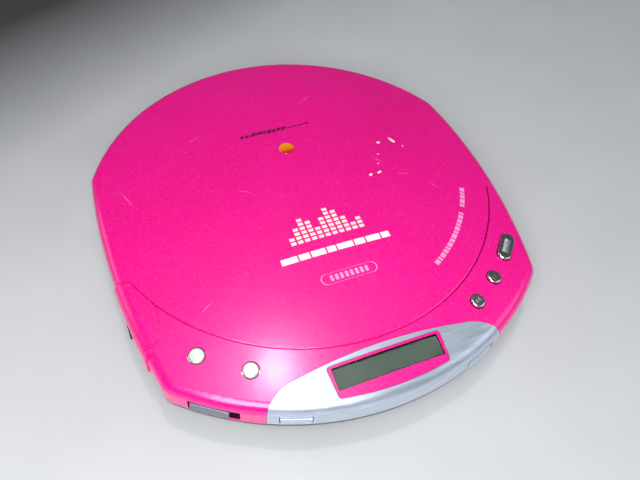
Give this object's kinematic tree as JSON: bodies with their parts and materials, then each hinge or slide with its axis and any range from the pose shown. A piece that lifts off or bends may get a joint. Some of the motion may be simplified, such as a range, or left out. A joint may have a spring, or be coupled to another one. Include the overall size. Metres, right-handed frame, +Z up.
{
  "type": "portable cd player",
  "caption": "Pocket disc player: a round-backed clamshell with a rear-hinged lid, front deck with buttons, a small display, a disc drive and a battery bay.",
  "frame": {"origin": "on the table under the middle of the body, at the foot level", "axes": "+Z up; the front with the display faces -Y; +X to the right seen from the front"},
  "size_m": [0.1306, 0.1445, 0.0281],
  "materials": {
    "pink_shell": "gloss, pearl",
    "grey_base": "satin grey",
    "silver_trim": "brushed silver paint under clear lacquer",
    "smoke_window": "smoked clear",
    "lcd_grey": "matt glass",
    "chrome_button": "mirror plated",
    "slider_grey": "silver-grey paint",
    "orange_badge": "gloss",
    "inner_plastic": "moulded",
    "white_plastic": "moulded",
    "board_green": "solder mask",
    "steel": "plated",
    "rubber": "matt",
    "lens": "coated",
    "cell_sleeve": "printed sleeve"
  },
  "bodies": {
    "player": {"upper_cabinet": "pink_shell", "lower_cabinet": "grey_base", "rubber_feet": "rubber", "case_screws": "steel", "battery_holder": "inner_plastic", "battery_cells": "cell_sleeve", "battery_contacts": "steel", "hinge_pin": "steel", "front_panel": "silver_trim", "display_surround": "pink_shell", "display_window": "smoke_window", "lcd_module": "lcd_grey", "lid_switch": "inner_plastic", "control_board": "board_green", "deck_switches": "steel", "main_board": "board_green", "board_chips": "inner_plastic", "board_capacitors": "cell_sleeve", "headphone_jack": "inner_plastic", "dc_jack": "inner_plastic", "mechanism_chassis": "steel", "guide_rods": "steel", "rubber_dampers": "rubber", "chassis_screws": "steel", "spindle_motor": "steel", "sled_motor": "steel"},
    "lid_assembly": {"lid": "pink_shell", "lid_liner": "inner_plastic", "lid_badge": "orange_badge", "lid_hook": "pink_shell", "lid_switch_post": "inner_plastic"},
    "latch": {"open_slider": "slider_grey", "latch_plate": "inner_plastic", "latch_spring": "steel"},
    "volume_down": {"volume_down_button": "chrome_button"},
    "volume_up": {"volume_up_button": "chrome_button"},
    "skip_back": {"skip_back_button": "chrome_button"},
    "skip_forward": {"skip_forward_button": "chrome_button"},
    "play": {"play_button": "chrome_button"},
    "sound": {"sound_button": "silver_trim"},
    "hold": {"hold_switch_knob": "silver_trim"},
    "door": {"battery_door": "grey_base"},
    "rotor": {"spindle_shaft": "steel", "turntable": "inner_plastic", "turntable_pad": "rubber", "disc_hub": "inner_plastic"},
    "pickup": {"optical_pickup": "inner_plastic"},
    "lens": {"lens_holder": "inner_plastic", "objective_lens": "lens"},
    "screw": {"lead_screw": "steel"},
    "plunger": {"lid_switch_plunger": "white_plastic"}
  },
  "joints": [
    {"name": "lid_hinge", "type": "hinge", "parent": "player", "child": "lid_assembly", "pos_m": [0, 0.0699, 0.0142], "axis": [-1, 0, 0], "range_deg": [0, 75]},
    {"name": "open_latch", "type": "slide", "parent": "player", "child": "latch", "axis": [0.8171, -0.5764, 0], "range_m": [0, 0.0022], "stiffness_N_per_m": 300},
    {"name": "volume_down_press", "type": "slide", "parent": "player", "child": "volume_down", "axis": [0.1221, 0.1323, -0.9837], "range_m": [0, 0.0004], "stiffness_N_per_m": 400},
    {"name": "volume_up_press", "type": "slide", "parent": "player", "child": "volume_up", "axis": [0.0914, 0.1551, -0.9837], "range_m": [0, 0.0004], "stiffness_N_per_m": 400},
    {"name": "skip_back_press", "type": "slide", "parent": "player", "child": "skip_back", "axis": [-0.0839, 0.1592, -0.9837], "range_m": [0, 0.0004], "stiffness_N_per_m": 400},
    {"name": "skip_forward_press", "type": "slide", "parent": "player", "child": "skip_forward", "axis": [-0.1073, 0.1445, -0.9837], "range_m": [0, 0.0004], "stiffness_N_per_m": 400},
    {"name": "play_press", "type": "slide", "parent": "player", "child": "play", "axis": [-0.1323, 0.1221, -0.9837], "range_m": [0, 0.0004], "stiffness_N_per_m": 400},
    {"name": "sound_press", "type": "slide", "parent": "player", "child": "sound", "axis": [0.3355, 0.9421, 0], "range_m": [0, 0.0004], "stiffness_N_per_m": 400},
    {"name": "hold_slide", "type": "slide", "parent": "player", "child": "hold", "axis": [0.9421, 0.3355, 0], "range_m": [0, 0.002]},
    {"name": "battery_door_slide", "type": "slide", "parent": "player", "child": "door", "axis": [0, -1, 0], "range_m": [0, 0.003]},
    {"name": "spindle_spin", "type": "hinge", "parent": "player", "child": "rotor", "pos_m": [0, 0.0096, 0.0142], "axis": [0, 0, 1], "continuous": true},
    {"name": "pickup_slide", "type": "slide", "parent": "player", "child": "pickup", "axis": [0, -1, 0], "range_m": [0, 0.033]},
    {"name": "lead_screw_turn", "type": "hinge", "parent": "player", "child": "screw", "pos_m": [0.0165, -0.0134, 0.0104], "axis": [0, 1, 0], "range_deg": [0, 3970]},
    {"name": "lens_focus", "type": "slide", "parent": "pickup", "child": "lens", "axis": [0, 0, 1], "range_m": [-0.0003, 0.0003], "stiffness_N_per_m": 60},
    {"name": "lid_switch_press", "type": "slide", "parent": "player", "child": "plunger", "axis": [0, 0, -1], "range_m": [0, 0.0008], "stiffness_N_per_m": 100}
  ],
  "couplings": [
    {"joint": "lead_screw_turn", "follows": "pickup_slide", "rad_per_m": 2094.4}
  ]
}
